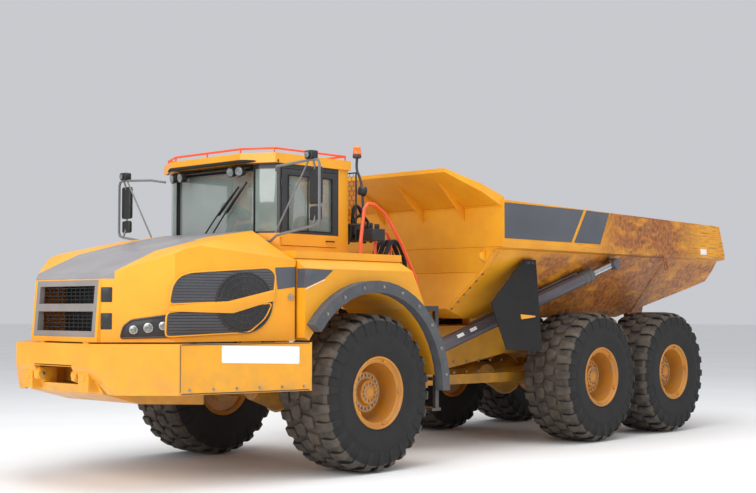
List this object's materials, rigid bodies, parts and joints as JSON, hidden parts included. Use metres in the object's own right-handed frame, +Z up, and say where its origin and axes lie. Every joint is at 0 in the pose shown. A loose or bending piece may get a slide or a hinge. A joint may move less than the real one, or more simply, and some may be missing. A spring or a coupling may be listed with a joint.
{
  "type": "articulated dump truck",
  "caption": "Six-wheel-drive hauler that bends at a centre pivot, with a driver's cab on the front unit and a tipping load body on the rear unit.",
  "frame": {"origin": "bottom centre of the whole machine, on the ground", "axes": "+X forward, +Y to the driver's left, +Z up"},
  "size_m": [11.284, 3.6294, 3.75],
  "materials": {
    "yellow_paint": "satin enamel",
    "grey_paint": "satin enamel",
    "rim_paint": "worn enamel",
    "tyre_rubber": "matt",
    "flare_rubber": "matt",
    "orange_rail": "gloss enamel",
    "dark_paint": "satin enamel",
    "cab_glass": "clear",
    "cylinder_paint": "satin enamel",
    "rod_chrome": "polished",
    "seat_cloth": "woven",
    "cast_block": "as cast"
  },
  "bodies": {
    "front_unit": {"front_frame": "yellow_paint", "front_bumper": "yellow_paint", "front_axle": "yellow_paint", "engine_block": "cast_block", "radiator": "dark_paint", "fender_left": "yellow_paint", "fender_right": "yellow_paint", "flare_left": "flare_rubber", "flare_right": "flare_rubber", "deck": "dark_paint", "cab_shell": "dark_paint", "cab_roof": "yellow_paint", "windshield": "cab_glass", "side_window_right": "cab_glass", "rear_window": "cab_glass", "seat": "seat_cloth", "steering_column": "dark_paint", "mirror_left": "dark_paint", "mirror_right": "dark_paint", "access_steps": "dark_paint", "handrail_long": "orange_rail", "handrail_short": "orange_rail", "air_cleaner": "dark_paint", "beacon_post": "orange_rail"},
    "hood": {"hood": "yellow_paint", "hood_top": "grey_paint", "grille": "grey_paint"},
    "cab_door": {"cab_door": "dark_paint", "door_glass": "cab_glass"},
    "rear_unit": {"rear_frame": "yellow_paint", "bogie_beam_left": "yellow_paint", "bogie_beam_right": "yellow_paint", "axle_middle": "yellow_paint", "axle_rear": "yellow_paint"},
    "dump_bed": {"dump_body": "yellow_paint", "mudflap_left": "flare_rubber", "mudflap_right": "flare_rubber"},
    "hoist_barrel_left": {"hoist_barrel_left": "cylinder_paint"},
    "hoist_rod_left": {"hoist_rod_left": "rod_chrome"},
    "steering_barrel_left": {"steering_barrel_left": "cylinder_paint"},
    "steering_rod_left": {"steering_rod_left": "rod_chrome"},
    "hoist_barrel_right": {"hoist_barrel_right": "cylinder_paint"},
    "hoist_rod_right": {"hoist_rod_right": "rod_chrome"},
    "steering_barrel_right": {"steering_barrel_right": "cylinder_paint"},
    "steering_rod_right": {"steering_rod_right": "rod_chrome"},
    "wheel_front_left": {"tyre_front_left": "tyre_rubber", "rim_front_left": "rim_paint"},
    "wheel_front_right": {"tyre_front_right": "tyre_rubber", "rim_front_right": "rim_paint"},
    "wheel_middle_left": {"tyre_middle_left": "tyre_rubber", "rim_middle_left": "rim_paint"},
    "wheel_middle_right": {"tyre_middle_right": "tyre_rubber", "rim_middle_right": "rim_paint"},
    "wheel_rear_left": {"tyre_rear_left": "tyre_rubber", "rim_rear_left": "rim_paint"},
    "wheel_rear_right": {"tyre_rear_right": "tyre_rubber", "rim_rear_right": "rim_paint"}
  },
  "joints": [
    {"name": "articulation", "type": "hinge", "parent": "front_unit", "child": "rear_unit", "pos_m": [1.172, 0, 1.14], "axis": [0, 0, 1], "range_deg": [-45, 45]},
    {"name": "hood_tilt", "type": "hinge", "parent": "front_unit", "child": "hood", "pos_m": [5.522, 0, 1.49], "axis": [0, 1, 0], "range_deg": [0, 80]},
    {"name": "cab_door_swing", "type": "hinge", "parent": "front_unit", "child": "cab_door", "pos_m": [3.362, 0.981, 3], "axis": [0, 0, -1], "range_deg": [0, 80]},
    {"name": "bed_tip", "type": "hinge", "parent": "rear_unit", "child": "dump_bed", "pos_m": [-4.486, 0, 1.48], "axis": [0, -1, 0], "range_deg": [0, 70]},
    {"name": "hoist_foot_left", "type": "hinge", "parent": "rear_unit", "child": "hoist_barrel_left", "pos_m": [0.472, 0.8, 1.33], "axis": [0.4194, 0.5022, 0.7563], "range_deg": [0, 7.42]},
    {"name": "hoist_extend_left", "type": "slide", "parent": "hoist_barrel_left", "child": "hoist_rod_left", "axis": [-0.9078, 0.234, 0.348], "range_m": [0, 2.5215]},
    {"name": "steering_foot_left", "type": "hinge", "parent": "front_unit", "child": "steering_barrel_left", "pos_m": [2.272, 0.58, 1.15], "axis": [0, 0, 1], "range_deg": [-4.03, 4.03]},
    {"name": "steering_extend_left", "type": "slide", "parent": "steering_barrel_left", "child": "steering_rod_left", "axis": [-0.995, -0.0995, 0], "range_m": [-0.3449, 0.3449]},
    {"name": "hoist_foot_right", "type": "hinge", "parent": "rear_unit", "child": "hoist_barrel_right", "pos_m": [0.472, -0.8, 1.33], "axis": [-0.4194, 0.5022, -0.7563], "range_deg": [0, 7.42]},
    {"name": "hoist_extend_right", "type": "slide", "parent": "hoist_barrel_right", "child": "hoist_rod_right", "axis": [-0.9078, -0.234, 0.348], "range_m": [0, 2.5215]},
    {"name": "steering_foot_right", "type": "hinge", "parent": "front_unit", "child": "steering_barrel_right", "pos_m": [2.272, -0.58, 1.15], "axis": [0, 0, 1], "range_deg": [-4.03, 4.03]},
    {"name": "steering_extend_right", "type": "slide", "parent": "steering_barrel_right", "child": "steering_rod_right", "axis": [-0.995, 0.0995, 0], "range_m": [-0.3449, 0.3449]},
    {"name": "wheel_front_left_spin", "type": "hinge", "parent": "front_unit", "child": "wheel_front_left", "pos_m": [2.522, 1.32, 0.89], "axis": [0, 1, 0], "continuous": true},
    {"name": "wheel_front_right_spin", "type": "hinge", "parent": "front_unit", "child": "wheel_front_right", "pos_m": [2.522, -1.32, 0.89], "axis": [0, 1, 0], "continuous": true},
    {"name": "wheel_middle_left_spin", "type": "hinge", "parent": "rear_unit", "child": "wheel_middle_left", "pos_m": [-1.996, 1.32, 0.89], "axis": [0, 1, 0], "continuous": true},
    {"name": "wheel_middle_right_spin", "type": "hinge", "parent": "rear_unit", "child": "wheel_middle_right", "pos_m": [-1.996, -1.32, 0.89], "axis": [0, 1, 0], "continuous": true},
    {"name": "wheel_rear_left_spin", "type": "hinge", "parent": "rear_unit", "child": "wheel_rear_left", "pos_m": [-3.936, 1.32, 0.89], "axis": [0, 1, 0], "continuous": true},
    {"name": "wheel_rear_right_spin", "type": "hinge", "parent": "rear_unit", "child": "wheel_rear_right", "pos_m": [-3.936, -1.32, 0.89], "axis": [0, 1, 0], "continuous": true}
  ],
  "couplings": [
    {"joint": "hoist_foot_left", "follows": "bed_tip", "ratio": 0.098915},
    {"joint": "hoist_extend_left", "follows": "bed_tip", "m_per_rad": 2.0557},
    {"joint": "steering_foot_left", "follows": "articulation", "ratio": 0.07852},
    {"joint": "steering_extend_left", "follows": "articulation", "m_per_rad": 0.43281},
    {"joint": "hoist_foot_right", "follows": "bed_tip", "ratio": 0.098915},
    {"joint": "hoist_extend_right", "follows": "bed_tip", "m_per_rad": 2.0557},
    {"joint": "steering_foot_right", "follows": "articulation", "ratio": 0.07852},
    {"joint": "steering_extend_right", "follows": "articulation", "m_per_rad": -0.43281}
  ]
}
